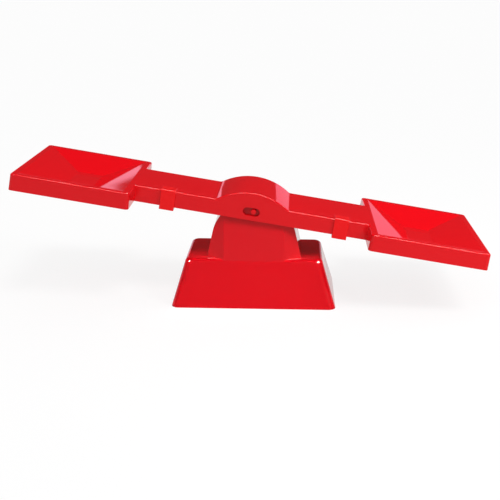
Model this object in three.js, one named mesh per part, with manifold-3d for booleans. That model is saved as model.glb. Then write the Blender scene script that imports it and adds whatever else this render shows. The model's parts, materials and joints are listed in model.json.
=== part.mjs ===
// Toy balance scale: a hollow base with an arched tower, a rocking beam moulded in one with its two
// hopper trays, a retaining pin and two zero-adjust riders. Millimetres, +Z up, front of the toy at -Y.
import * as THREE from 'three';
import { mergeVertices } from 'three/addons/utils/BufferGeometryUtils.js';
import Module from 'manifold-3d';

const wasm = await Module();
wasm.setup();

// Whole toy. The origin lies on the table under the middle of the tilted toy, not under its pivot.
const PIVOT_X = 2;
const PIVOT_Z = 85.8;
const REST_TILT_DEG = 9.3;

// Beam, measured down from its flat top
const BEAM_HALF_LENGTH = 180;
const BEAM_HALF_WIDTH = 28.6;
const WALL = 2.2;
const EDGE_ROUND = 0.9;
const HUMP_RISE = 9.1;
const HUMP_HALF_CHORD = 28.2;
const HUMP_FOOT_FILLET = 3;
const SLOT_LENGTH = 13;
const SLOT_HEIGHT = 6.5;
const SLOT_BELOW_TOP = 5.7;

// Trays
const TRAY_LENGTH = 89.4;
const TRAY_HALF_DEPTH = 55;
const TRAY_DRAFT = 0.035;
const TRAY_CORNER = 2.8;
const PAN_RIM = 5;
const PAN_DEPTH = 10.2;
const PAN_SLOPE = 0.344;
const PAN_WALL = 2;
const PAN_ABOVE_SKIRT = 0.3;

// Bearing ribs under the hump and the knife edge that carries them
const RIB_Y = 13;
const RIB_THICK = 3;
const RIB_HALF_WIDTH = 7;
const RIB_BELOW_PIVOT = 3.5;
const NOTCH_COVER = 1.5;
const KNIFE_GAP = 0.4;
const KNIFE_HALF_BASE = 3.2;
const KNIFE_TIP = 0.2;
const KNIFE_SET_BACK = 2.5;

// Base block
const BASE_WALL = 2.5;
const BLOCK_HEIGHT = 36.8;
const BLOCK_TOP_HALF_X = 53.3;
const BLOCK_TOP_HALF_Y = 28.6;
const BLOCK_FLARE = 0.302;
const BLOCK_FILLET = 3.4;
const BLOCK_CORNER = 5;
const BLOCK_FOOT_CORNER = 7;

// Tower
const ARCH_RADIUS = 33.2;
const ARCH_BELOW_PIVOT = 35.8;
const ARCH_FLANK_LEAN = 0.225;
const TOWER_ROOT = 8.8;
const TOWER_SIDE_GAP = 0.7;
const TILT_DROP = 5.8;
const FACE_HALF_WIDTH = 23.3;
const FLANK_RECEDE = 0.5;

// Retaining pin
const PIN_RADIUS = 2.1;
const PIN_RECESS = 0.4;
const PIN_FIT = 0.05;
const PIN_COVER = 2.8;

// Riders
const RIDER_LENGTH = 11.3;
const RIDER_WALL = 2;
const RIDER_GAP = 0.3;
const RIDER_TONGUE = 8.3;
const RIDER_TONGUE_THICK = 1;
const RIDER_LEG_THICK = 1.6;
const RIDER_LEG_RISE = 7.8;
const RIDER_EDGE = 1;
const RIDER_ROUND = 0.3;
const RIDER_LEFT_FROM_TRAY = 25.8;
const RIDER_RIGHT_FROM_TRAY = 21;

// How finely curves are stepped, how far a cut runs past a face, and the least inside radius
const EDGE_STEPS = 4;
const CORNER_STEPS = 6;
const FILLET_STEPS = 8;
const ARCH_STEPS = 24;
const HUMP_STEPS = 16;
const FOOT_STEPS = 4;
const SLOT_STEPS = 10;
const PIN_STEPS = 24;
const CUT_PAST = 4;
const LEAST_ROUND = 0.5;

// Sizes that follow from those above
const skirtDepth = PAN_DEPTH + PAN_WALL + PAN_ABOVE_SKIRT;
const trayInnerX = BEAM_HALF_LENGTH - TRAY_LENGTH;
const pivotRise = HUMP_RISE - WALL - NOTCH_COVER - KNIFE_GAP;
const pinZ = PIVOT_Z - pivotRise - SLOT_BELOW_TOP;
const archZ = PIVOT_Z - ARCH_BELOW_PIVOT;
const towerTop = pinZ + PIN_RADIUS + PIN_COVER;
const towerFoot = BLOCK_HEIGHT - TOWER_ROOT;
const beamInner = BEAM_HALF_WIDTH - WALL;
const beamLowest = PIVOT_Z - pivotRise - skirtDepth - TILT_DROP;
const faceLean = (BLOCK_TOP_HALF_Y - beamInner + TOWER_SIDE_GAP) / (beamLowest - BLOCK_HEIGHT);
const faceHalfY = (z) => BLOCK_TOP_HALF_Y - faceLean * (z - BLOCK_HEIGHT);

// Closed geometry to a solid for cutting, and back
function toSolid(geometry) {
  const plain = geometry.clone();
  plain.deleteAttribute('normal');
  plain.deleteAttribute('uv');
  const merged = mergeVertices(plain, 1e-4);
  return new wasm.Manifold(new wasm.Mesh({
    numProp: 3,
    vertProperties: new Float32Array(merged.getAttribute('position').array),
    triVerts: new Uint32Array(merged.index.array),
  }));
}

function toGeometry(solid) {
  const mesh = solid.getMesh();
  const geometry = new THREE.BufferGeometry();
  geometry.setAttribute('position', new THREE.BufferAttribute(mesh.vertProperties, 3));
  geometry.setIndex(new THREE.BufferAttribute(mesh.triVerts, 1));
  const flat = geometry.toNonIndexed();
  flat.computeVertexNormals();
  return flat;
}

function fromTriangles(corners) {
  const geometry = new THREE.BufferGeometry();
  geometry.setAttribute('position', new THREE.BufferAttribute(new Float32Array(corners), 3));
  return geometry;
}

// Outline extruded evenly both ways along its normal, with rounded end rims where asked
function extruded(outline, half, round, steps) {
  const shape = new THREE.Shape(outline.map(([u, v]) => new THREE.Vector2(u, v)));
  const geometry = new THREE.ExtrudeGeometry(shape, {
    depth: 2 * (half - round),
    bevelEnabled: round > 0,
    bevelThickness: round,
    bevelSize: round,
    bevelOffset: -round,
    bevelSegments: steps,
  });
  return geometry.translate(0, 0, round - half);
}

// Outline in x and z, extruded across the toy
function acrossY(outline, half, round = 0) {
  return extruded(outline, half, round, EDGE_STEPS).rotateX(Math.PI / 2);
}

// Outline in y and z, extruded along the beam
function alongX(outline, half, round) {
  const turn = new THREE.Matrix4().makeBasis(
    new THREE.Vector3(0, 1, 0),
    new THREE.Vector3(0, 0, 1),
    new THREE.Vector3(1, 0, 0),
  );
  return extruded(outline, half, round, EDGE_STEPS - 1).applyMatrix4(turn);
}

// Right half of an outline, mirrored to a whole one
function mirrored(half) {
  return [...half, ...half.map(([u, v]) => [-u, v]).reverse()];
}

function arc(centre, radius, from, to, steps) {
  const points = [];
  for (let i = 0; i <= steps; i += 1) {
    const t = from + (to - from) * i / steps;
    points.push([centre[0] + radius * Math.cos(t), centre[1] + radius * Math.sin(t)]);
  }
  return points;
}

function roundedRect(halfX, halfY, corner) {
  const radius = Math.max(LEAST_ROUND, corner);
  const quarter = Math.PI / 2;
  const signs = [[1, 1], [-1, 1], [-1, -1], [1, -1]];
  return signs.flatMap(([sx, sy], i) => {
    const centre = [sx * (halfX - radius), sy * (halfY - radius)];
    return arc(centre, radius, i * quarter, (i + 1) * quarter, CORNER_STEPS);
  });
}

// Rings of equal count, each as [points, z], skinned from the lowest to the highest and capped
function loft(rings) {
  const corners = [];
  const count = rings[0][0].length;
  const at = (r, i) => [...rings[r][0][i % count], rings[r][1]];
  for (let r = 0; r + 1 < rings.length; r += 1) {
    for (let i = 0; i < count; i += 1) {
      corners.push(...at(r, i), ...at(r, i + 1), ...at(r + 1, i + 1));
      corners.push(...at(r, i), ...at(r + 1, i + 1), ...at(r + 1, i));
    }
  }
  const top = rings.length - 1;
  for (let i = 1; i + 1 < count; i += 1) {
    corners.push(...at(0, 0), ...at(0, i + 1), ...at(0, i));
    corners.push(...at(top, 0), ...at(top, i), ...at(top, i + 1));
  }
  return fromTriangles(corners);
}

// Flared block with a rounded top edge; inset is the wall for the hollow inside it
function block(inset, foot) {
  const lean = Math.atan(BLOCK_FLARE);
  const fillet = Math.max(LEAST_ROUND, BLOCK_FILLET - inset);
  const top = BLOCK_HEIGHT - inset;
  const centreZ = top - fillet;
  const half = (size, z) => size - inset / Math.cos(lean) + BLOCK_FLARE * (BLOCK_HEIGHT - z);
  const ring = (z, out, corner) => {
    const halfX = half(BLOCK_TOP_HALF_X, z) + out;
    const halfY = half(BLOCK_TOP_HALF_Y, z) + out;
    return roundedRect(halfX, halfY, corner - inset);
  };
  const rings = [[ring(foot, 0, BLOCK_FOOT_CORNER), foot]];
  for (const [u, v] of arc([0, 0], fillet, lean, Math.PI / 2, FILLET_STEPS)) {
    const out = u - fillet / Math.cos(lean);
    const drawnIn = fillet * Math.cos(lean) - u;
    rings.push([ring(centreZ, out, BLOCK_CORNER - 0.7 * drawnIn), centreZ + v]);
  }
  return toSolid(loft(rings));
}

// Arch with leaning flanks, crossed with front and back faces that lean and recede at the flanks
function tower(inset, foot, top) {
  const lean = Math.atan(ARCH_FLANK_LEAN);
  const radius = ARCH_RADIUS - inset;
  const end = Math.asin((top - archZ) / radius);
  const dome = arc([0, archZ], radius, lean, end, ARCH_STEPS);
  const footX = dome[0][0] + ARCH_FLANK_LEAN * (dome[0][1] - foot);
  const arch = acrossY(mirrored([[footX, foot], ...dome]), BLOCK_TOP_HALF_Y + CUT_PAST);
  const reach = footX + CUT_PAST;
  const faces = [foot - 1, top + 1].map((z) => {
    const y = faceHalfY(z) - inset;
    const x = FACE_HALF_WIDTH - inset * FLANK_RECEDE / 2;
    const back = mirrored([[reach, y - FLANK_RECEDE * (reach - x)], [x, y]]);
    return [[...back, ...back.map(([p, q]) => [-p, -q])], z];
  });
  return toSolid(arch).intersect(toSolid(loft(faces)));
}

function knifeEdge() {
  const side = [
    [KNIFE_HALF_BASE, towerTop - 1],
    [KNIFE_HALF_BASE, towerTop],
    [KNIFE_TIP / 2, PIVOT_Z],
  ];
  return toSolid(acrossY(mirrored(side), faceHalfY(towerTop) - KNIFE_SET_BACK));
}

function pin(radius, half) {
  return new THREE.CylinderGeometry(radius, radius, 2 * half, PIN_STEPS).translate(0, 0, pinZ);
}

function makeBase() {
  return block(0, 0)
    .add(tower(0, towerFoot, towerTop))
    .add(knifeEdge())
    .subtract(block(BASE_WALL, -CUT_PAST))
    .subtract(tower(BASE_WALL, towerFoot - CUT_PAST, towerTop - BASE_WALL))
    .subtract(toSolid(pin(PIN_RADIUS + PIN_FIT, BLOCK_TOP_HALF_Y + CUT_PAST)));
}

// Front outline of the beam with its hump; inset is the wall for the channel inside it
function beamOutline(inset, halfLength, bottom) {
  const outerRadius = (HUMP_HALF_CHORD ** 2 + HUMP_RISE ** 2) / (2 * HUMP_RISE);
  const humpZ = HUMP_RISE - outerRadius;
  const radius = outerRadius - inset;
  const fillet = HUMP_FOOT_FILLET + inset;
  const filletZ = fillet - inset;
  const filletX = Math.sqrt((radius + fillet) ** 2 - (filletZ - humpZ) ** 2);
  const meet = Math.atan2(filletZ - humpZ, filletX);
  const foot = arc([filletX, filletZ], fillet, -Math.PI / 2, meet - Math.PI, FOOT_STEPS);
  const hump = arc([0, humpZ], radius, meet, Math.PI - meet, 2 * HUMP_STEPS).slice(1, -1);
  const right = [[halfLength, bottom], [halfLength, -inset], ...foot];
  return [...right, ...hump, ...right.map(([x, z]) => [-x, z]).reverse()];
}

function slotOutline() {
  const radius = SLOT_HEIGHT / 2;
  const reach = SLOT_LENGTH / 2 - radius;
  const quarter = Math.PI / 2;
  return [
    ...arc([reach, -SLOT_BELOW_TOP], radius, -quarter, quarter, SLOT_STEPS),
    ...arc([-reach, -SLOT_BELOW_TOP], radius, quarter, 3 * quarter, SLOT_STEPS),
  ];
}

// Rib with a V notch that sits on the knife edge
function bearingRib(side) {
  const apex = pivotRise + KNIFE_GAP;
  const low = pivotRise - RIB_BELOW_PIVOT;
  const high = HUMP_RISE - WALL / 2;
  const half = [[apex - low, low], [RIB_HALF_WIDTH, low], [RIB_HALF_WIDTH, high - NOTCH_COVER / 2]];
  const outline = [...mirrored(half), [0, apex]];
  return toSolid(acrossY(outline, RIB_THICK / 2).translate(0, side * RIB_Y, 0));
}

function trayOuter() {
  const spread = TRAY_DRAFT * skirtDepth;
  const ring = (out) => roundedRect(TRAY_LENGTH / 2 + out, TRAY_HALF_DEPTH + out, TRAY_CORNER + out);
  const rings = [[ring(spread), -skirtDepth]];
  for (const [u, v] of arc([0, 0], EDGE_ROUND, 0, Math.PI / 2, EDGE_STEPS)) {
    rings.push([ring(u - EDGE_ROUND), v - EDGE_ROUND]);
  }
  return toSolid(loft(rings));
}

function trayHollow() {
  const ring = (out) => {
    const corner = TRAY_CORNER - WALL + out;
    return roundedRect(TRAY_LENGTH / 2 - WALL + out, TRAY_HALF_DEPTH - WALL + out, corner);
  };
  const low = skirtDepth + CUT_PAST;
  return toSolid(loft([[ring(TRAY_DRAFT * low), -low], [ring(0), -WALL]]));
}

// Hopper: four even slopes running from a rectangle at the rim down to a flat floor
function hopper(grow, depth) {
  const ring = (z) => {
    const x = TRAY_LENGTH / 2 - PAN_RIM + grow + z / PAN_SLOPE;
    const y = TRAY_HALF_DEPTH - PAN_RIM + grow + z / PAN_SLOPE;
    return [[[x, y], [-x, y], [-x, -y], [x, -y]], z];
  };
  return toSolid(loft([ring(-depth), ring(1)]));
}

function makeTray(side) {
  const wallRun = PAN_WALL / Math.sin(Math.atan(PAN_SLOPE));
  return trayOuter()
    .subtract(trayHollow().subtract(hopper(wallRun, PAN_DEPTH + PAN_WALL)))
    .subtract(hopper(0, PAN_DEPTH))
    .translate(side * (trayInnerX + TRAY_LENGTH / 2), 0, 0);
}

function makeBeam() {
  const below = -skirtDepth - CUT_PAST;
  const shell = beamOutline(0, trayInnerX + WALL, below);
  const channel = beamOutline(WALL, trayInnerX + WALL / 2, below - CUT_PAST);
  const trim = new THREE.BoxGeometry(2 * BEAM_HALF_LENGTH, 4 * BEAM_HALF_WIDTH, 2 * CUT_PAST);
  trim.translate(0, 0, -skirtDepth - CUT_PAST);
  return toSolid(acrossY(shell, BEAM_HALF_WIDTH, EDGE_ROUND))
    .subtract(toSolid(acrossY(channel, beamInner)))
    .subtract(toSolid(trim))
    .subtract(toSolid(acrossY(slotOutline(), BEAM_HALF_WIDTH + CUT_PAST)))
    .add(bearingRib(1))
    .add(bearingRib(-1))
    .add(makeTray(1))
    .add(makeTray(-1));
}

// Clip on the beam's front wall: a plate in front, a tongue over the deck, a leg up inside the channel
function makeRider() {
  const plate = -BEAM_HALF_WIDTH - RIDER_GAP;
  const front = plate - RIDER_WALL;
  const leg = RIDER_GAP - beamInner;
  const floor = -skirtDepth - RIDER_GAP;
  const top = RIDER_GAP + RIDER_TONGUE_THICK;
  const outline = [
    [front, floor - RIDER_WALL],
    [leg + RIDER_LEG_THICK, floor - RIDER_WALL],
    [leg + RIDER_LEG_THICK, floor + RIDER_LEG_RISE],
    [leg, floor + RIDER_LEG_RISE],
    [leg, floor],
    [plate, floor],
    [plate, RIDER_GAP],
    [plate + RIDER_TONGUE, RIDER_GAP],
    [plate + RIDER_TONGUE, top],
    ...arc([front + RIDER_EDGE, top - RIDER_EDGE], RIDER_EDGE, Math.PI / 2, Math.PI, EDGE_STEPS),
  ];
  return alongX(outline, RIDER_LENGTH / 2, RIDER_ROUND);
}

function piece(name, geometry) {
  const red = new THREE.MeshStandardMaterial({ color: 0xd81e28, roughness: 0.22, metalness: 0 });
  const mesh = new THREE.Mesh(geometry, red);
  mesh.name = name;
  return mesh;
}

const toy = new THREE.Group();
toy.position.x = PIVOT_X;
toy.add(piece('base', toGeometry(makeBase())));
toy.add(piece('pivot_pin', pin(PIN_RADIUS, BEAM_HALF_WIDTH - PIN_RECESS)));

// What rocks hangs from the knife edge, and is shown at the tilt it was seen at
const rocking = new THREE.Group();
rocking.position.z = PIVOT_Z;
rocking.rotation.y = THREE.MathUtils.degToRad(REST_TILT_DEG);
toy.add(rocking);

const deck = new THREE.Group();
deck.position.z = -pivotRise;
rocking.add(deck);
deck.add(piece('beam', toGeometry(makeBeam())));

const riderLeft = piece('rider_left', makeRider());
riderLeft.position.x = RIDER_LEFT_FROM_TRAY - trayInnerX;
deck.add(riderLeft);

const riderRight = piece('rider_right', makeRider());
riderRight.position.x = trayInnerX - RIDER_RIGHT_FROM_TRAY;
deck.add(riderRight);

export default toy;
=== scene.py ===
# %% [markdown]
# # A toy balance scale in red moulded plastic
# A hollow base with an arched tower carries a rocking beam with a hopper tray at each end. A pin keeps the
# beam on its knife edge, and two clips slide on the arms to set the zero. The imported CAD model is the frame:
# it fixes every size and place, and this lesson gives each piece its rounded edges, its finish and its light.

# %% Load the frame
import json
import math

import bmesh
import bpy
from mathutils import Matrix, Vector


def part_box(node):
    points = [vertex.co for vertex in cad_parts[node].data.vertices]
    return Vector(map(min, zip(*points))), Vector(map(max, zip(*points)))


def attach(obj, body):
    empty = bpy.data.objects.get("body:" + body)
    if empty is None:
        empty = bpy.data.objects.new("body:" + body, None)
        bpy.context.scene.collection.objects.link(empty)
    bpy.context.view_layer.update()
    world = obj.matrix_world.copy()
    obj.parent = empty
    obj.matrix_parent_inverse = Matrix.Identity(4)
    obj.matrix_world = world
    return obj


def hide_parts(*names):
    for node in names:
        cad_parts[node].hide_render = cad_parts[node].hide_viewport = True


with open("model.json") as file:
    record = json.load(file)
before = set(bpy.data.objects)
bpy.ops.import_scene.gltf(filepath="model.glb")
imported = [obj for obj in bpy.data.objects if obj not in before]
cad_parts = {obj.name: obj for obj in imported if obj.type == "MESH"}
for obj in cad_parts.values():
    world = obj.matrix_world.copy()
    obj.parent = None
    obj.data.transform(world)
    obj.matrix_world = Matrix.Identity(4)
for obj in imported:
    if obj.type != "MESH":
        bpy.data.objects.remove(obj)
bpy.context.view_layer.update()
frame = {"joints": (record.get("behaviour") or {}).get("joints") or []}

MM = 0.001

# %% [markdown]
# ## Where the beam hangs
# Everything that rocks is easiest to model level, with the top of its arms at height zero, and to turn into
# place at the end. The record already knows that place: the hinge gives the knife edge, and the axis that
# the clips slide along gives the tilt at rest. Reading them here means that no angle is typed twice.

# %% Pivot and rest tilt
PIVOT_ABOVE_ARMS = 5.0 * MM
joints = {joint["name"]: joint for joint in frame["joints"]}
pivot = Vector(joints["beam_tilt"]["pos_m"])
slide = Vector(joints["rider_left_slide"]["axis"])
rest_tilt = math.atan2(-slide.z, slide.x)
deck_to_world = (
    Matrix.Translation(pivot)
    @ Matrix.Rotation(rest_tilt, 4, "Y")
    @ Matrix.Translation((0, 0, -PIVOT_ABOVE_ARMS))
)
print("pivot in mm:", [round(v / MM, 1) for v in pivot], "tilt:", round(math.degrees(rest_tilt), 2))

# %% [markdown]
# ## Camera
# The camera stands a little right of the middle and looks down at about 18 degrees. Its place and lens come
# from fitting the corners of the trays, beam and base to the picture. A rotation could be typed as three
# angles, but building it from a forward, a right and an up direction is easier to read and to check.

# %% Make the camera
CAMERA_AT = Vector((32.06, -675.74, 255.26)) * MM
CAMERA_YAW, CAMERA_DIP, CAMERA_ROLL = (math.radians(a) for a in (-2.90, 18.003, -0.163))
FOCAL_PIXELS, PICTURE_PIXELS = 876.5, 500
SENSOR_IN_MM, CAMERA_REACH = 36, 50

forward = Vector((
    math.sin(CAMERA_YAW) * math.cos(CAMERA_DIP),
    math.cos(CAMERA_YAW) * math.cos(CAMERA_DIP),
    -math.sin(CAMERA_DIP),
))
level = forward.cross(Vector((0, 0, 1))).normalized()
upright = level.cross(forward)
right = level * math.cos(CAMERA_ROLL) + upright * math.sin(CAMERA_ROLL)
up = upright * math.cos(CAMERA_ROLL) - level * math.sin(CAMERA_ROLL)

camera = bpy.data.objects.new("camera", bpy.data.cameras.new("camera"))
camera.data.sensor_width = SENSOR_IN_MM
camera.data.lens = SENSOR_IN_MM * (FOCAL_PIXELS / PICTURE_PIXELS)
camera.data.clip_end = CAMERA_REACH
camera.matrix_world = Matrix.Translation(CAMERA_AT) @ Matrix((right, up, -forward)).transposed().to_4x4()
bpy.context.scene.collection.objects.link(camera)
bpy.context.scene.camera = camera
bpy.context.scene.view_settings.view_transform = "Standard"
print("lens in mm:", round(camera.data.lens, 2))

# %% [markdown]
# ## Node helpers
# The plastic, the floor and the sky are all built from the same few nodes: a sum or a product, a step from
# one value to another, and a blend of two colours. They could be added one by one each time. A helper that
# takes either a plain value or another node's output lets the recipes below read almost like arithmetic.

# %% Helpers that add nodes
# A Mix node has sockets of the same names for each kind of data, so the ones for colours go by number
MIX_FACTOR, MIX_PLAIN, MIX_CHOSEN, MIX_RESULT = 0, 6, 7, 2


def feed(tree, socket, value):
    if isinstance(value, bpy.types.NodeSocket):
        tree.links.new(value, socket)
    else:
        socket.default_value = value


def computed(tree, operation, *values, kind="ShaderNodeMath"):
    node = tree.nodes.new(kind)
    node.operation = operation
    for socket, value in zip(node.inputs, values):
        feed(tree, socket, value)
    return node.outputs["Value"]


def stepped(tree, value, low, high, to_low=0.0, to_high=1.0):
    node = tree.nodes.new("ShaderNodeMapRange")
    for key, number in (
        ("Value", value), ("From Min", low), ("From Max", high), ("To Min", to_low), ("To Max", to_high),
    ):
        feed(tree, node.inputs[key], number)
    return node.outputs["Result"]


def blended(tree, factor, plain, chosen):
    node = tree.nodes.new("ShaderNodeMix")
    node.data_type = "RGBA"
    for number, value in ((MIX_FACTOR, factor), (MIX_PLAIN, plain), (MIX_CHOSEN, chosen)):
        feed(tree, node.inputs[number], value)
    return node.outputs[MIX_RESULT]


def grey(value):
    return (value, value, value, 1)


print("node helpers:", [helper.__name__ for helper in (computed, stepped, blended)])

# %% [markdown]
# ## Shared moulded skin
# Injection-moulded plastic is one colour all through, but its skin is never perfectly even: the melt leaves
# a faint mottle, the polished mould a fine orange peel, and handling leaves soft smudges and hair scratches
# that only show in the gloss. All the pieces share this, so it is one node group with its own inputs.

# %% Sockets of the skin group
def new_skin_group():
    group = bpy.data.node_groups.new("moulded_skin", "ShaderNodeTree")
    for name, kind, value in (
        ("Colour", "NodeSocketColor", (0.6, 0.01, 0.015, 1)),
        ("Mottle", "NodeSocketFloat", 0.05),
        ("Gloss Roughness", "NodeSocketFloat", 0.12),
        ("Smudge", "NodeSocketFloat", 0.08),
        ("Scratch", "NodeSocketFloat", 0.1),
    ):
        socket = group.interface.new_socket(name=name, in_out="INPUT", socket_type=kind)
        socket.default_value = value
    for name, kind in (
        ("Colour", "NodeSocketColor"), ("Roughness", "NodeSocketFloat"), ("Height", "NodeSocketFloat"),
    ):
        group.interface.new_socket(name=name, in_out="OUTPUT", socket_type=kind)
    return group


moulded_skin = new_skin_group()
print("skin sockets:", [item.name for item in moulded_skin.interface.items_tree])

# %% Nodes of the skin group
FLOW_SHARE, SCRATCH_CUT = 0.7, 1.5


def fill_skin_group(group):
    nodes = group.nodes
    inside, outside = nodes.new("NodeGroupInput").outputs, nodes.new("NodeGroupOutput").inputs
    where = nodes.new("ShaderNodeTexCoord").outputs["Object"]

    def calc(operation, first, second):
        return computed(group, operation, first, second)

    def noise(scale, detail, turn=None, stretch=None):
        source = where
        if stretch:
            mapping = nodes.new("ShaderNodeMapping")
            mapping.inputs["Rotation"].default_value = turn
            mapping.inputs["Scale"].default_value = stretch
            feed(group, mapping.inputs["Vector"], where)
            source = mapping.outputs["Vector"]
        node = nodes.new("ShaderNodeTexNoise")
        for key, value in (("Vector", source), ("Scale", scale), ("Detail", detail)):
            feed(group, node.inputs[key], value)
        return node.outputs["Fac"]

    # Mottle: slow flow marks drawn out along the toy and a finer cloud. Noise lies round one half, so what is
    # above it lightens the colour and what is below it darkens it
    flow = noise(scale=16, detail=3, turn=(0, 0.16, 0), stretch=(0.45, 1, 1))
    cloud = noise(scale=120, detail=2)
    spread = calc("ADD", calc("MULTIPLY", flow, FLOW_SHARE), calc("MULTIPLY", cloud, 1 - FLOW_SHARE))
    shift = calc("MULTIPLY", calc("SUBTRACT", spread, 0.5), inside["Mottle"])
    tint = nodes.new("ShaderNodeHueSaturation")
    feed(group, tint.inputs["Color"], inside["Colour"])
    feed(group, tint.inputs["Value"], calc("ADD", 1, calc("MULTIPLY", shift, 2)))
    feed(group, outside["Colour"], tint.outputs["Color"])

    # Gloss: polished, dulled in soft patches by handling and in thin lines by hair scratches
    smudge = stepped(group, noise(scale=38, detail=4), low=0.48, high=0.75)
    hair = noise(scale=60, detail=2, turn=(0.3, 0.2, 0.7), stretch=(1, 60, 60))
    cross = noise(scale=60, detail=2, turn=(0.9, -0.4, 2.1), stretch=(1, 70, 70))
    hair = stepped(group, hair, low=0.64, high=0.72)
    cross = stepped(group, cross, low=0.66, high=0.74)
    lines = calc("MULTIPLY", calc("MAXIMUM", hair, cross), inside["Scratch"])
    dull = calc("ADD", calc("MULTIPLY", smudge, inside["Smudge"]), lines)
    feed(group, outside["Roughness"], calc("ADD", inside["Gloss Roughness"], dull))

    # Height: the orange peel of the mould, with the scratches cut a little into it
    peel = noise(scale=420, detail=2)
    feed(group, outside["Height"], calc("SUBTRACT", peel, calc("MULTIPLY", lines, SCRATCH_CUT)))


fill_skin_group(moulded_skin)
print("moulded skin nodes:", len(moulded_skin.nodes))

# %% [markdown]
# ## Red plastics
# The beam and pin are one red and the clips look a touch more orange, as parts from different shots of
# plastic do. The base's red is darker than the beam's: that darkening is painted shade over the whole base,
# so that its front does not come out brighter than the arms. A Principled shader with a plain index of
# refraction gives the gloss: nearly nothing face on, and a pale mirror at a glancing angle, which is what
# makes the ramps of the trays look pink. The peel is only bump, because it is far finer than the mesh.

# %% Make the materials
# The base's red is darker than RED only as painted shade over the whole base, not as a different plastic
RED, BASE_RED_PAINTED_SHADE, RIDER_RED = (0.78, 0.003, 0.008), (0.72, 0.003, 0.009), (0.90, 0.004, 0.006)
PLASTIC_IOR, PEEL_DEPTH = 1.27, 0.15 * MM


def red_plastic(name, colour, peel, **skin_values):
    material = bpy.data.materials.new(name)
    material.use_nodes = True
    tree = material.node_tree
    shader = tree.nodes["Principled BSDF"]
    shader.inputs["IOR"].default_value = PLASTIC_IOR
    skin = tree.nodes.new("ShaderNodeGroup")
    skin.node_tree = moulded_skin
    skin.inputs["Colour"].default_value = (*colour, 1)
    for key, value in skin_values.items():
        skin.inputs[key.replace("_", " ").title()].default_value = value
    bump = tree.nodes.new("ShaderNodeBump")
    bump.inputs["Strength"].default_value = peel
    bump.inputs["Distance"].default_value = PEEL_DEPTH
    feed(tree, bump.inputs["Height"], skin.outputs["Height"])
    feed(tree, shader.inputs["Base Color"], skin.outputs["Colour"])
    feed(tree, shader.inputs["Roughness"], skin.outputs["Roughness"])
    feed(tree, shader.inputs["Normal"], bump.outputs["Normal"])
    return material


# The base's material carries the painted shade of its darker red
red_base_painted_shade = red_plastic(
    "red_base_painted_shade", BASE_RED_PAINTED_SHADE, peel=0.06, mottle=0.05, gloss_roughness=0.10, smudge=0.06, scratch=0.08,
)
red_beam = red_plastic(
    "red_beam", RED, peel=0.02, mottle=0.05, gloss_roughness=0.02, smudge=0.03, scratch=0.08,
)
red_pin = red_plastic(
    "red_pin", RED, peel=0.06, mottle=0.03, gloss_roughness=0.14, smudge=0.05, scratch=0.05,
)
red_rider = red_plastic(
    "red_rider", RIDER_RED, peel=0.06, mottle=0.04, gloss_roughness=0.14, smudge=0.06, scratch=0.06,
)
print("materials:", [m.name for m in (red_base_painted_shade, red_beam, red_pin, red_rider)])

# %% [markdown]
# ## Helpers for making pieces
# A bmesh picks its edges by what they are: a test on the two faces beside an edge, or on where it lies, says
# more than an index. Every finished piece also needs the same last steps: faces turned outwards, smooth
# shading that stops at real corners, a body to ride on and the CAD node that it stands for.

# %% Helpers that pick and round
TOUCH, CLEAR = 0.01 * MM, 1 * MM


def near(first, second):
    return abs(first - second) < TOUCH


def verts_of(geom):
    return [v for v in geom if isinstance(v, bmesh.types.BMVert)]


def edges_where(bm, test):
    return [e for e in bm.edges if test((e.verts[0].co + e.verts[1].co) / 2, e)]


def faces_turn(edge, by_deg=6):
    return len(edge.link_faces) == 2 and edge.calc_face_angle() > math.radians(by_deg)


def round_edges(bm, edges, radius, segments):
    bmesh.ops.bevel(
        bm, geom=edges, offset=radius, offset_type="OFFSET", segments=segments, profile=0.5,
        affect="EDGES", clamp_overlap=True, material=-1,
    )


print("points within", TOUCH / MM, "mm count as touching")

# %% Helpers that finish a piece
MERGE, CREASE_DEG = 0.002 * MM, 34


def new_object(name, bm):
    mesh = bpy.data.meshes.new(name)
    bm.to_mesh(mesh)
    bm.free()
    obj = bpy.data.objects.new(name, mesh)
    bpy.context.scene.collection.objects.link(obj)
    return obj


def with_modifiers_applied(obj):
    bpy.context.view_layer.update()
    mesh = bpy.data.meshes.new_from_object(obj.evaluated_get(bpy.context.evaluated_depsgraph_get()))
    bm = bmesh.new()
    bm.from_mesh(mesh)
    bpy.data.objects.remove(obj)
    return bm


def finished(name, bm, body, material, nodes=()):
    bmesh.ops.remove_doubles(bm, verts=bm.verts, dist=MERGE)
    bmesh.ops.recalc_face_normals(bm, faces=bm.faces)
    obj = new_object(name, bm)
    obj.data.materials.append(material)
    obj.data.shade_smooth()
    obj.data.set_sharp_from_angle(angle=math.radians(CREASE_DEG))
    weighted = obj.modifiers.new("weighted normals", "WEIGHTED_NORMAL")
    weighted.keep_sharp = True
    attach(obj, body)
    if nodes:
        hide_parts(*nodes)
    print(name, "faces:", len(obj.data.polygons))
    return obj


print("edges sharper than", CREASE_DEG, "degrees stay crisp")

# %% [markdown]
# ## Beam, step one: a sheet for its top
# The beam is a thin shell, so it starts as a sheet. One vertex is spun over the hump, its ends are pulled
# out to the trays, and the line is swept across the toy. The hump could be a cut cylinder, but a spun line
# keeps every face of the strip a clean four-sided one. The feet of the hump get their small fillets now.

# %% Arms and hump
BEAM_HALF_LENGTH, BEAM_HALF_WIDTH = 180 * MM, 28.6 * MM
TRAY_LENGTH, TRAY_HALF_DEPTH = 89.4 * MM, 55 * MM
HUMP_RISE, HUMP_HALF_CHORD, HUMP_STEPS = 9.1 * MM, 28.2 * MM, 36
HUMP_FOOT_RADIUS, HUMP_FOOT_STEPS = 3 * MM, 4
tray_inner = BEAM_HALF_LENGTH - TRAY_LENGTH
hump_radius = (HUMP_HALF_CHORD**2 + HUMP_RISE**2) / (2 * HUMP_RISE)
hump_half_angle = math.asin(HUMP_HALF_CHORD / hump_radius)

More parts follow.
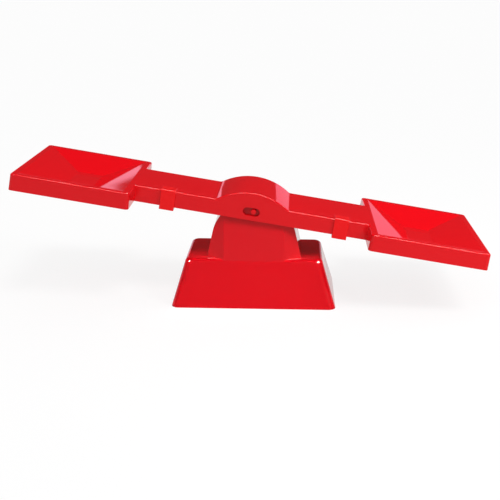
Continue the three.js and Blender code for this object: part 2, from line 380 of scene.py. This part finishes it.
beam = bmesh.new()
foot = beam.verts.new((HUMP_HALF_CHORD, -BEAM_HALF_WIDTH, 0))
spun = bmesh.ops.spin(
    beam, geom=[foot], cent=(0, -BEAM_HALF_WIDTH, HUMP_RISE - hump_radius), axis=(0, -1, 0),
    angle=2 * hump_half_angle, steps=HUMP_STEPS,
)
far_foot = verts_of(spun["geom_last"])[0]
for vert, way in ((foot, 1), (far_foot, -1)):
    out = bmesh.ops.extrude_vert_indiv(beam, verts=[vert])["verts"]
    bmesh.ops.translate(beam, verts=out, vec=(way * (tray_inner - HUMP_HALF_CHORD), 0, 0))
swept = bmesh.ops.extrude_edge_only(beam, edges=beam.edges[:])["geom"]
bmesh.ops.translate(beam, verts=verts_of(swept), vec=(0, 2 * BEAM_HALF_WIDTH, 0))
feet = edges_where(beam, lambda m, e: abs(m.y) < CLEAR and near(abs(m.x), HUMP_HALF_CHORD))
round_edges(beam, feet, HUMP_FOOT_RADIUS * math.tan(hump_half_angle / 2), HUMP_FOOT_STEPS)
print("hump radius in mm:", round(hump_radius / MM, 2), "strip faces:", len(beam.faces))

# %% [markdown]
# ## Beam, step two: hopper trays
# Each tray is a wide plate with a flat rim, and inside the rim four even slopes run down to a small flat
# floor, so that what is weighed gathers in the middle. Extruding the end of the arm and its two sides gives
# the plate, an inset gives the rim, and the face inside it is pushed down and drawn in. The slopes could be
# cut with planes, but this way they come out flat and four-sided.

# %% Plates
def add_plate(bm, way):
    end = edges_where(bm, lambda m, e: near(m.x, way * tray_inner) and abs(m.y) < CLEAR)
    plate = bmesh.ops.extrude_edge_only(bm, edges=end)["geom"]
    bmesh.ops.translate(bm, verts=verts_of(plate), vec=(way * TRAY_LENGTH, 0, 0))
    for side in (-1, 1):
        flank = edges_where(bm, lambda m, e: (
            e.is_boundary and way * m.x > tray_inner + CLEAR and near(m.y, side * BEAM_HALF_WIDTH)
        ))
        wing = bmesh.ops.extrude_edge_only(bm, edges=flank)["geom"]
        reach = side * (TRAY_HALF_DEPTH - BEAM_HALF_WIDTH)
        bmesh.ops.translate(bm, verts=verts_of(wing), vec=(0, reach, 0))
    plates = [f for f in bm.faces if way * f.calc_center_median().x > tray_inner]
    tray = bmesh.ops.dissolve_faces(bm, faces=plates)["region"][0]
    bmesh.ops.dissolve_verts(bm, verts=[
        v for v in tray.verts
        if near(abs(v.co.y), BEAM_HALF_WIDTH) and way * v.co.x > BEAM_HALF_LENGTH - CLEAR
    ])
    return next(f for f in bm.faces if way * f.calc_center_median().x > tray_inner)


trays = {way: add_plate(beam, way) for way in (-1, 1)}
print("corners of each plate:", [len(tray.verts) for tray in trays.values()])

# %% Rims and hoppers
PAN_RIM, PAN_DEPTH, PAN_SLOPE = 5 * MM, 10.2 * MM, 0.344


def sink_pan(bm, tray, way):
    bmesh.ops.inset_region(bm, faces=[tray], thickness=PAN_RIM, use_boundary=True, use_even_offset=True)
    pan = verts_of(bmesh.ops.extrude_face_region(bm, geom=[tray])["geom"])
    bmesh.ops.delete(bm, geom=[tray], context="FACES_ONLY")
    run = PAN_DEPTH / PAN_SLOPE
    draw_in = [1 - run / (half - PAN_RIM) for half in (TRAY_LENGTH / 2, TRAY_HALF_DEPTH)]
    centre = Vector((way * (tray_inner + TRAY_LENGTH / 2), 0, 0))
    bmesh.ops.scale(bm, verts=pan, vec=(*draw_in, 1), space=Matrix.Translation(-centre))
    bmesh.ops.translate(bm, verts=pan, vec=(0, 0, -PAN_DEPTH))
    bmesh.ops.remove_doubles(bm, verts=bm.verts, dist=TOUCH)


for way, tray in trays.items():
    sink_pan(beam, tray, way)
print("beam sheet faces:", len(beam.faces))

# %% [markdown]
# ## Beam, step three: skirt, slots and wall
# A skirt hangs from the whole outline. Under the hump it is pierced front and back by an oblong slot, which
# shows the end of the pin and lets the beam rock round it. The slot could be cut by a boolean; here a panel
# of the wall is lifted out and filled again round the slot's outline. Solidify then gives the wall inwards.

# %% Skirt
SKIRT_DEPTH, TRAY_DRAFT = 12.5 * MM, 0.035
outline = [e for e in beam.edges if e.is_boundary]
hem = verts_of(bmesh.ops.extrude_edge_only(beam, edges=outline)["geom"])
bmesh.ops.scale(beam, verts=hem, vec=(1, 1, 0))
bmesh.ops.translate(beam, verts=hem, vec=(0, 0, -SKIRT_DEPTH))
draft = TRAY_DRAFT * SKIRT_DEPTH
for vert in hem:
    x, y = vert.co.xy
    if abs(x) > tray_inner - TOUCH:
        end = 1 if abs(x) > tray_inner + TRAY_LENGTH / 2 else -1
        side = 0 if abs(y) < BEAM_HALF_WIDTH + CLEAR else math.copysign(1, y)
        bmesh.ops.translate(beam, verts=[vert], vec=(math.copysign(draft, x) * end, side * draft, 0))
print("hem points:", len(hem))

# %% Slots
SLOT_LENGTH, SLOT_HEIGHT, SLOT_BELOW_TOP, SLOT_STEPS = 13 * MM, 6.5 * MM, 5.7 * MM, 24
PANEL_HALF_HEIGHT, PANEL_HALF_WIDTH, SLICED_HALF_WIDTH = 4.3 * MM, 10.5 * MM, 14 * MM
SLICE = 0.001 * MM


def wall_faces(bm, side, half_width):
    return [f for f in bm.faces if abs(f.calc_center_median().x) < half_width
            and all(near(v.co.y, side * BEAM_HALF_WIDTH) for v in f.verts)]


def slice_wall(bm, side, height):
    wall = wall_faces(bm, side, SLICED_HALF_WIDTH)
    edges = dict.fromkeys(e for f in wall for e in f.edges)
    verts = dict.fromkeys(v for f in wall for v in f.verts)
    bmesh.ops.bisect_plane(
        bm, geom=[*wall, *edges, *verts], dist=SLICE, plane_co=(0, 0, height), plane_no=(0, 0, 1),
    )


def cut_slot(bm, side):
    for above in (PANEL_HALF_HEIGHT, -PANEL_HALF_HEIGHT):
        slice_wall(bm, side, above - SLOT_BELOW_TOP)
    pieces = [f for f in wall_faces(bm, side, PANEL_HALF_WIDTH)
              if abs(f.calc_center_median().z + SLOT_BELOW_TOP) < PANEL_HALF_HEIGHT / 2]
    panel = bmesh.ops.dissolve_faces(bm, faces=pieces)["region"][0]
    rim = panel.edges[:]
    bmesh.ops.delete(bm, geom=[panel], context="FACES_ONLY")
    place = (
        Matrix.Translation((0, side * BEAM_HALF_WIDTH, -SLOT_BELOW_TOP))
        @ Matrix.Rotation(math.pi / 2, 4, "X")
        @ Matrix.Rotation(math.pi / SLOT_STEPS, 4, "Z")
    )
    ring = bmesh.ops.create_circle(bm, segments=SLOT_STEPS, radius=SLOT_HEIGHT / 2, matrix=place)["verts"]
    for way in (-1, 1):
        half = [v for v in ring if way * v.co.x > 0]
        bmesh.ops.translate(bm, verts=half, vec=(way * (SLOT_LENGTH - SLOT_HEIGHT) / 2, 0, 0))
    ring_edges = dict.fromkeys(e for v in ring for e in v.link_edges)
    bmesh.ops.triangle_fill(bm, edges=[*rim, *ring_edges], use_beauty=True)


for side in (-1, 1):
    cut_slot(beam, side)
print("sheet faces with the slots:", len(beam.faces))

# %% Wall
BEAM_WALL = 2.2 * MM
bmesh.ops.recalc_face_normals(beam, faces=beam.faces)
sheet = new_object("beam_sheet", beam)
wall = sheet.modifiers.new("wall", "SOLIDIFY")
wall.thickness = BEAM_WALL
wall.offset = -1
wall.use_even_offset = True
beam = with_modifiers_applied(sheet)
print("beam shell faces:", len(beam.faces))

# %% [markdown]
# ## Beam, step four: rounded edges
# A moulded edge is never sharp: its tiny radius is what draws the thin bright lines along the toy. The tray
# corners are rounded first, then the whole top outline, then the soft breaks of the hopper and the lower
# rim. Each set is found by where its edges lie and how the faces beside them turn, so nothing depends on how
# the sheet was numbered.

# %% Round the beam and set it in place
TRAY_CORNER, TOP_EDGE, PAN_EDGE, RIM_EDGE = 2.8 * MM, 0.9 * MM, 0.5 * MM, 0.3 * MM
# Only the outer corners are this tall, since the inner ones lose the wall's thickness
OUTER_CORNER_DROP = 11 * MM
# Limits for the upward part of a face's normal
FACES_UP, FACES_SIDEWAYS, FACES_DOWN = 0.7, 0.3, -0.9


def is_tray_corner(m, e):
    drop = abs(e.verts[0].co.z - e.verts[1].co.z)
    return drop > OUTER_CORNER_DROP and abs(m.y) > TRAY_HALF_DEPTH - CLEAR


def is_top_edge(m, e):
    heights = sorted(f.normal.z for f in e.link_faces)
    return faces_turn(e) and heights[-1] > FACES_UP and abs(heights[0]) < FACES_SIDEWAYS and m.z > -CLEAR


def is_pan_edge(m, e):
    along_toy = tray_inner + CLEAR < abs(m.x) < BEAM_HALF_LENGTH - CLEAR
    across_toy = abs(m.y) < TRAY_HALF_DEPTH - PAN_RIM + CLEAR
    return along_toy and across_toy and faces_turn(e) and all(f.normal.z > FACES_UP for f in e.link_faces)


def is_rim_edge(m, e):
    low = m.z < -SKIRT_DEPTH + 0.1 * CLEAR
    return low and faces_turn(e) and min(f.normal.z for f in e.link_faces) < FACES_DOWN


for test, radius, segments in (
    (is_tray_corner, TRAY_CORNER, 5), (is_top_edge, TOP_EDGE, 3),
    (is_pan_edge, PAN_EDGE, 2), (is_rim_edge, RIM_EDGE, 2),
):
    beam.normal_update()
    found = edges_where(beam, test)
    round_edges(beam, found, radius, segments)
    print(test.__name__, "edges rounded:", len(found))
bmesh.ops.transform(beam, matrix=deck_to_world, verts=beam.verts)
beam_shell = finished("beam_shell", beam, "beam", red_beam, ["beam"])

# %% [markdown]
# ## Bearing ribs
# Inside the hump two ribs with a V notch sit on the tower's knife edge, which is why the beam swings so
# freely. They are hidden from above. A box with a notch cut out of it would do, but a flat outline that is
# pulled to its thickness shows the V at a glance. Its edges are broken a little.

# %% Two ribs under the hump
RIB_Y, RIB_THICK, RIB_HALF_WIDTH, RIB_ROUND = 13 * MM, 3 * MM, 7 * MM, 0.2 * MM
RIB_LOW, RIB_HIGH, NOTCH_TOP = 1.5 * MM, 6.8 * MM, 5.4 * MM
notch_half_width = NOTCH_TOP - RIB_LOW


def prism(bm, corners, along):
    flat = bm.faces.new([bm.verts.new(c) for c in corners])
    pulled = bmesh.ops.extrude_face_region(bm, geom=[flat])["geom"]
    bmesh.ops.translate(bm, verts=verts_of(pulled), vec=along)
    bmesh.ops.recalc_face_normals(bm, faces=bm.faces)


rib_outline = [
    (0, NOTCH_TOP), (notch_half_width, RIB_LOW), (RIB_HALF_WIDTH, RIB_LOW), (RIB_HALF_WIDTH, RIB_HIGH),
    (-RIB_HALF_WIDTH, RIB_HIGH), (-RIB_HALF_WIDTH, RIB_LOW), (-notch_half_width, RIB_LOW),
]
ribs = bmesh.new()
for side in (-1, 1):
    front = side * RIB_Y - RIB_THICK / 2
    prism(ribs, [(x, front, z) for x, z in rib_outline], (0, RIB_THICK, 0))
round_edges(ribs, [e for e in ribs.edges if faces_turn(e) and e.is_convex], RIB_ROUND, segments=2)
bmesh.ops.transform(ribs, matrix=deck_to_world, verts=ribs.verts)
finished("beam_ribs", ribs, "beam", red_beam)

# %% [markdown]
# ## Base
# The base is one hollow moulding: a flared block with a rounded top, and an arched tower whose front and
# back lean in and fall away at the flanks. The tower starts as a deep arched slab that planes trim back. Both
# are shaped as plain solids and rounded first, because their edges are easy to find then. A boolean joins
# them and takes the hollow out, as the mould's core does. The cores reach lower, so no skin is left below.

# %% The flared block
BLOCK_HEIGHT, BLOCK_TOP_HALF_X, BLOCK_TOP_HALF_Y = 36.8 * MM, 53.3 * MM, 28.6 * MM
BLOCK_FLARE, BLOCK_CORNER, BLOCK_FILLET, BLOCK_STEPS = 0.302, 5.6 * MM, 3.4 * MM, 6
BASE_WALL, CORE_CORNER, CORE_FILLET, CORE_DROP = 2.5 * MM, 3.2 * MM, 0.9 * MM, 4 * MM
flare_angle = math.atan(BLOCK_FLARE)


def flared_block(inset, foot_z, corner, fillet):
    bm = bmesh.new()
    top_z = BLOCK_HEIGHT - inset
    for vert in bmesh.ops.create_cube(bm, size=2)["verts"]:
        z = top_z if vert.co.z > 0 else foot_z
        grow = BLOCK_FLARE * (BLOCK_HEIGHT - z) - inset / math.cos(flare_angle)
        vert.co = (vert.co.x * (BLOCK_TOP_HALF_X + grow), vert.co.y * (BLOCK_TOP_HALF_Y + grow), z)
    corners = edges_where(bm, lambda m, e: abs(m.x) > CLEAR and abs(m.y) > CLEAR)
    round_edges(bm, corners, corner, BLOCK_STEPS)
    bm.normal_update()
    top = edges_where(bm, lambda m, e: faces_turn(e, by_deg=28) and m.z > top_z - TOUCH)
    round_edges(bm, top, fillet * math.tan((math.pi / 2 - flare_angle) / 2), BLOCK_STEPS)
    bmesh.ops.translate(bm, verts=bm.verts, vec=(pivot.x, 0, 0))
    return bm


block = flared_block(0, 0, BLOCK_CORNER, BLOCK_FILLET)
block_core = flared_block(BASE_WALL, -CORE_DROP, CORE_CORNER, CORE_FILLET)
print("block faces:", len(block.faces), "core faces:", len(block_core.faces))

# %% The tower's arch
ARCH_RADIUS, ARCH_Z, ARCH_FLANK_LEAN, ARCH_STEPS = 33.2 * MM, 50 * MM, 0.225, 48
TOWER_FOOT, TOWER_SPARE = 28 * MM, 8 * MM
slab_half_depth = BLOCK_TOP_HALF_Y + TOWER_SPARE


def arch_slab(radius, foot_z):
    bm = bmesh.new()
    lean = math.atan(ARCH_FLANK_LEAN)
    start = bm.verts.new((radius * math.cos(lean), 0, ARCH_Z + radius * math.sin(lean)))
    arch = bmesh.ops.spin(
        bm, geom=[start], cent=(0, 0, ARCH_Z), axis=(0, -1, 0), angle=math.pi - 2 * lean, steps=ARCH_STEPS,
    )
    feet = []
    for vert, way in ((start, 1), (verts_of(arch["geom_last"])[0], -1)):
        out = bmesh.ops.extrude_vert_indiv(bm, verts=[vert])["verts"]
        drop = vert.co.z - foot_z
        bmesh.ops.translate(bm, verts=out, vec=(way * ARCH_FLANK_LEAN * drop, 0, -drop))
        feet += out
    bm.edges.new(feet)
    bmesh.ops.translate(bm, verts=bm.verts, vec=(0, -slab_half_depth, 0))
    front = bmesh.ops.edgeloop_fill(bm, edges=bm.edges[:])["faces"]
    pulled = bmesh.ops.extrude_face_region(bm, geom=front)["geom"]
    bmesh.ops.translate(bm, verts=verts_of(pulled), vec=(0, 2 * slab_half_depth, 0))
    return bm


tower = arch_slab(ARCH_RADIUS, TOWER_FOOT)
tower_core = arch_slab(ARCH_RADIUS - BASE_WALL, TOWER_FOOT - CORE_DROP)
print("slab faces:", len(tower.faces), "core faces:", len(tower_core.faces))

# %% The tower's faces
TOWER_TOP, TOWER_ROUND = 80 * MM, 0.7 * MM
FACE_LEAN, FACE_HALF_WIDTH, FLANK_RECEDE = 2.9 / 25.7, 23.3 * MM, 0.5


def trim(bm, point, outwards):
    whole = bm.verts[:] + bm.edges[:] + bm.faces[:]
    cut = bmesh.ops.bisect_plane(
        bm, geom=whole, dist=SLICE, plane_co=point, plane_no=outwards, clear_outer=True,
    )
    edges = [g for g in cut["geom_cut"] if isinstance(g, bmesh.types.BMEdge)]
    bmesh.ops.edgeloop_fill(bm, edges=edges)


def trim_tower(bm, inset):
    trim(bm, (0, 0, TOWER_TOP - inset), (0, 0, 1))
    edge_x = FACE_HALF_WIDTH - inset * FLANK_RECEDE / 2
    for side in (-1, 1):
        face = Vector((0, side * (BLOCK_TOP_HALF_Y - inset), BLOCK_HEIGHT))
        trim(bm, face, (0, side, FACE_LEAN))
        for way in (-1, 1):
            trim(bm, face + Vector((way * edge_x, 0, 0)), (way * FLANK_RECEDE, side, FACE_LEAN))
    bmesh.ops.recalc_face_normals(bm, faces=bm.faces)


for solid, inset in ((tower, 0), (tower_core, BASE_WALL)):
    trim_tower(solid, inset)
sharp = edges_where(tower, lambda m, e: m.z > TOWER_FOOT + CLEAR and faces_turn(e, by_deg=12))
round_edges(tower, sharp, TOWER_ROUND, segments=3)
for solid in (tower, tower_core):
    bmesh.ops.translate(solid, verts=solid.verts, vec=(pivot.x, 0, 0))
print("tower faces:", len(tower.faces), "core faces:", len(tower_core.faces))

# %% [markdown]
# ## Joining the base
# The knife edge on top of the tower is a slim wedge. It joins the block and tower, the two cores come out,
# and a round hole takes the pin. The exact solver is slower than the fast one but keeps the flat faces
# clean, and the doubles that it leaves are merged before the faces get their smooth shading.

# %% Knife edge and drill
KNIFE_HALF_BASE, KNIFE_HALF_TIP, KNIFE_HALF_LENGTH, KNIFE_SUNK = 3.2 * MM, 0.1 * MM, 21.2 * MM, 1 * MM
PIN_Z, PIN_RADIUS, PIN_HALF = 75.1 * MM, 2.1 * MM, 28.2 * MM
HOLE_GAP, DRILL_HALF = 0.05 * MM, 40 * MM


def wedge():
    bm = bmesh.new()
    half = [
        (KNIFE_HALF_BASE, TOWER_TOP - KNIFE_SUNK), (KNIFE_HALF_BASE, TOWER_TOP), (KNIFE_HALF_TIP, pivot.z),
    ]
    outline = half + [(-x, z) for x, z in reversed(half)]
    prism(bm, [(x, -KNIFE_HALF_LENGTH, z) for x, z in outline], (0, 2 * KNIFE_HALF_LENGTH, 0))
    bmesh.ops.translate(bm, verts=bm.verts, vec=(pivot.x, 0, 0))
    return bm


def rod(radius, half_length, segments):
    bm = bmesh.new()
    place = Matrix.Translation((pivot.x, 0, PIN_Z)) @ Matrix.Rotation(math.pi / 2, 4, "X")
    bmesh.ops.create_cone(
        bm, cap_ends=True, segments=segments, radius1=radius, radius2=radius, depth=2 * half_length,
        matrix=place,
    )
    return bm


knife = wedge()
drill = rod(PIN_RADIUS + HOLE_GAP, DRILL_HALF, segments=32)
print("knife faces:", len(knife.faces), "drill faces:", len(drill.faces))

# %% Join, hollow and drill
def combined(first, steps):
    host = new_object("base_blank", first)
    tools = []
    for kind, bm in steps:
        tool = new_object("base_tool", bm)
        step = host.modifiers.new(kind, "BOOLEAN")
        step.operation = kind
        step.solver = "EXACT"
        step.object = tool
        tools.append(tool)
    result = with_modifiers_applied(host)
    for tool in tools:
        bpy.data.objects.remove(tool)
    return result


base = combined(block, [
    ("UNION", tower), ("UNION", knife),
    ("DIFFERENCE", block_core), ("DIFFERENCE", tower_core), ("DIFFERENCE", drill),
])
base_shell = finished("base_shell", base, "base", red_base_painted_shade, ["base"])

# %% [markdown]
# ## Pin
# A plain rod pressed through the tower; its rounded ends show in the beam's slots. A cylinder with both rims
# rounded is all it needs, since nothing else of it is seen.

# %% Retaining pin
PIN_ROUND = 0.5 * MM
pin = rod(PIN_RADIUS, PIN_HALF, segments=40)
rims = edges_where(pin, lambda m, e: abs(m.y) > PIN_HALF - TOUCH)
round_edges(pin, rims, PIN_ROUND, segments=3)
finished("pin_rod", pin, "base", red_pin, ["pivot_pin"])

# %% [markdown]
# ## Zero-adjust clips
# Each clip grips the front wall of its arm: a plate in front, a tongue that lies on the deck and a leg that
# reaches up inside, so it can slide to balance the empty trays. Its outline is pulled to its length, the
# tongue's front edge is well rounded and the others are broken. Where it stands comes from the middle of
# the CAD node, turned back into the level beam's own frame.

# %% Two riders
RIDER_LENGTH, RIDER_WALL, RIDER_GAP = 11.3 * MM, 2 * MM, 0.3 * MM
TONGUE_REACH, TONGUE_THICK, LEG_THICK, LEG_RISE = 8.3 * MM, 1 * MM, 1.6 * MM, 7.8 * MM
TONGUE_ROUND, RIDER_ROUND = 1 * MM, 0.35 * MM


def make_rider(name):
    low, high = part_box(name)
    middle = (deck_to_world.inverted() @ ((low + high) / 2)).x
    back, under, top = -BEAM_HALF_WIDTH - RIDER_GAP, -SKIRT_DEPTH - RIDER_GAP, RIDER_GAP + TONGUE_THICK
    front, leg = back - RIDER_WALL, BEAM_WALL - BEAM_HALF_WIDTH + RIDER_GAP
    outline = [
        (front, top), (front, under - RIDER_WALL), (leg + LEG_THICK, under - RIDER_WALL),
        (leg + LEG_THICK, under + LEG_RISE), (leg, under + LEG_RISE), (leg, under), (back, under),
        (back, RIDER_GAP), (back + TONGUE_REACH, RIDER_GAP), (back + TONGUE_REACH, top),
    ]
    x = middle - RIDER_LENGTH / 2
    bm = bmesh.new()
    prism(bm, [(x, y, z) for y, z in outline], (RIDER_LENGTH, 0, 0))
    tongue_front = edges_where(bm, lambda m, e: m.y < front + TOUCH and m.z > top - TOUCH)
    round_edges(bm, tongue_front, TONGUE_ROUND, segments=5)
    bm.normal_update()
    sharp = edges_where(bm, lambda m, e: e.is_convex and faces_turn(e, by_deg=40))
    round_edges(bm, sharp, RIDER_ROUND, segments=3)
    bmesh.ops.transform(bm, matrix=deck_to_world, verts=bm.verts)
    return finished(f"{name}_clip", bm, name, red_rider, [name])


riders = [make_rider(name) for name in ("rider_left", "rider_right")]

# %% [markdown]
# ## Floor
# The toy stands on white paper. To the camera and in the gloss the paper glows white, so only a faint part of
# the shadow stays on it, while for all other rays it is plain paper that throws light back on the toy. Lamps
# strong enough to bleach the paper would bleach the toy as well.

# %% Floor
PAPER_SEEN, PAPER_LIGHTING, PAPER_GLOW = 0.95, 0.50, 0.82
FLOOR_HALF_SIZE = 15
grid = bmesh.new()
bmesh.ops.create_grid(grid, x_segments=1, y_segments=1, size=FLOOR_HALF_SIZE)
floor = new_object("floor", grid)
paper = bpy.data.materials.new("white_paper")
paper.use_nodes = True
tree = paper.node_tree
matt = tree.nodes["Principled BSDF"]
matt.inputs["Roughness"].default_value = 1
matt.inputs["Specular IOR Level"].default_value = 0
ray = tree.nodes.new("ShaderNodeLightPath").outputs
seen = computed(tree, "MAXIMUM", ray["Is Camera Ray"], ray["Is Glossy Ray"])
seen = computed(tree, "MAXIMUM", seen, ray["Is Transmission Ray"])
feed(tree, matt.inputs["Base Color"], blended(tree, seen, grey(PAPER_LIGHTING), grey(PAPER_SEEN)))
glow = tree.nodes.new("ShaderNodeEmission")
lit = tree.nodes.new("ShaderNodeMixShader")
matt_end, glow_end = lit.inputs[1:]
feed(tree, lit.inputs["Fac"], computed(tree, "MULTIPLY", seen, PAPER_GLOW))
feed(tree, matt_end, matt.outputs["BSDF"])
feed(tree, glow_end, glow.outputs["Emission"])
feed(tree, tree.nodes["Material Output"].inputs["Surface"], lit.outputs["Shader"])
floor.data.materials.append(paper)
print("floor size in m:", [round(v, 1) for v in floor.dimensions])

# %% [markdown]
# ## Sky
# The sky fills the shadows evenly. What the gloss mirrors of it is set apart: a pale band low on the horizon,
# which turns the inner slopes of the trays pink, a dim room above it, which keeps the flat tops a deep red,
# and a paler front of the room. A picture of a studio would do the same, but a few steps are easier to set.

# %% Sky
FILL, DIM, DIM_FRONT, SEEN_WHITE = (grey(value) for value in (0.58, 0.06, 0.42, 1))
BAND_LEFT, BAND_RIGHT, BAND_BLEND = (1.5, 0.80, 1.05, 1), (1.2, 0.47, 0.64, 1), 0.3
BAND_EDGE, BAND_LEAN = 0.1486, 0.0286
DIP_FROM, DIP_TO, DIP_EDGE = -0.2325, 0.0, 0.103
FRONT_FULL, FRONT_NONE = -0.7, -0.3
EDGE_SOFT = 0.002
world = bpy.data.worlds.new("studio")
bpy.context.scene.world = world
world.use_nodes = True
sky = world.node_tree
ray = sky.nodes.new("ShaderNodeLightPath").outputs
direction = sky.nodes.new("ShaderNodeTexCoord").outputs["Generated"]


def along(axis):
    return computed(sky, "DOT_PRODUCT", direction, axis, kind="ShaderNodeVectorMath")


def over(value, edge):
    return stepped(sky, value, edge - EDGE_SOFT, edge + EDGE_SOFT)


across, back, height = along((1, 0, 0)), along((0, 1, 0)), along((0, 0, 1))
band = blended(sky, stepped(sky, across, -BAND_BLEND, BAND_BLEND), BAND_LEFT, BAND_RIGHT)
dip = computed(sky, "SUBTRACT", over(across, DIP_FROM), over(across, DIP_TO))
dip = computed(sky, "MULTIPLY", dip, over(height, DIP_EDGE))
above = computed(sky, "MAXIMUM", over(along((BAND_LEAN, 0, 1)), BAND_EDGE), dip)
dim = blended(sky, stepped(sky, back, FRONT_FULL, FRONT_NONE, to_low=1.0, to_high=0.0), DIM, DIM_FRONT)
lighting = blended(sky, ray["Is Glossy Ray"], FILL, blended(sky, above, band, dim))
seen = computed(sky, "MAXIMUM", ray["Is Camera Ray"], ray["Is Transmission Ray"])
feed(sky, sky.nodes["Background"].inputs["Color"], blended(sky, seen, lighting, SEEN_WHITE))
print("sky nodes:", len(sky.nodes))

# %% [markdown]
# ## Lamps
# Two suns stand for lamps in front, the stronger one on the right. They throw the beam's shadow on the back
# of the block's shoulders, and a small lamp near the right tray makes that side a little brighter. Other
# lamps show only in the gloss: a broad panel overhead draws thin bright lines along the beam's front edges,
# and two small suns put a dot on the block's corners. Real lamps do both at once; set apart, each is tuned on
# its own, and light linking keeps the panel off the block and the small suns off the beam.

# %% Lamps
KEY_SUN, SIDE_SUN, SUN_SPREAD = 1.05, 0.2, math.radians(16)
KEY_FROM, SIDE_FROM = (0.26, -0.46, 0.85), (-0.60, -0.60, 0.80)
NEAR_LAMP, NEAR_AT, NEAR_SIZE = 1.1, (0.42, -0.28, 0.42), 0.2
PANEL_LIGHT, PANEL_AT, PANEL_SIZE = 100, (0.35, -0.23, 1.40), (1.9, 1.4)
SPARK_LEFT, SPARK_RIGHT, SPARK_SPREAD = 32, 80, math.radians(24)
SPARK_OUT, SPARK_FRONT, SPARK_UP = 0.66, -0.34, 0.66


def add_lamp(name, kind, energy, place, in_gloss_of=()):
    lamp = bpy.data.objects.new(name, bpy.data.lights.new(name, kind))
    lamp.data.energy = energy
    lamp.location = place
    lamp.rotation_euler = (-Vector(place)).to_track_quat("-Z", "Y").to_euler()
    lamp.visible_camera = False
    lamp.visible_glossy = bool(in_gloss_of)
    lamp.visible_diffuse = not in_gloss_of
    if in_gloss_of:
        lamp.light_linking.receiver_collection = bpy.data.collections.new(f"{name}_shines_on")
    for piece in in_gloss_of:
        lamp.light_linking.receiver_collection.objects.link(piece)
    bpy.context.scene.collection.objects.link(lamp)
    print(name, "comes down at", round(math.degrees(math.asin(Vector(place).normalized().z))), "degrees")
    return lamp.data


for name, energy, place in (("key_sun", KEY_SUN, KEY_FROM), ("side_sun", SIDE_SUN, SIDE_FROM)):
    add_lamp(name, "SUN", energy, place).angle = SUN_SPREAD
add_lamp("near_lamp", "AREA", NEAR_LAMP, NEAR_AT).size = NEAR_SIZE
panel = add_lamp("panel_light", "AREA", PANEL_LIGHT, PANEL_AT, in_gloss_of=[beam_shell, *riders])
panel.shape = "RECTANGLE"
panel.size, panel.size_y = PANEL_SIZE
for name, energy, side in (("spark_left", SPARK_LEFT, -1), ("spark_right", SPARK_RIGHT, 1)):
    place = (side * SPARK_OUT, SPARK_FRONT, SPARK_UP)
    add_lamp(name, "SUN", energy, place, in_gloss_of=[base_shell]).angle = SPARK_SPREAD
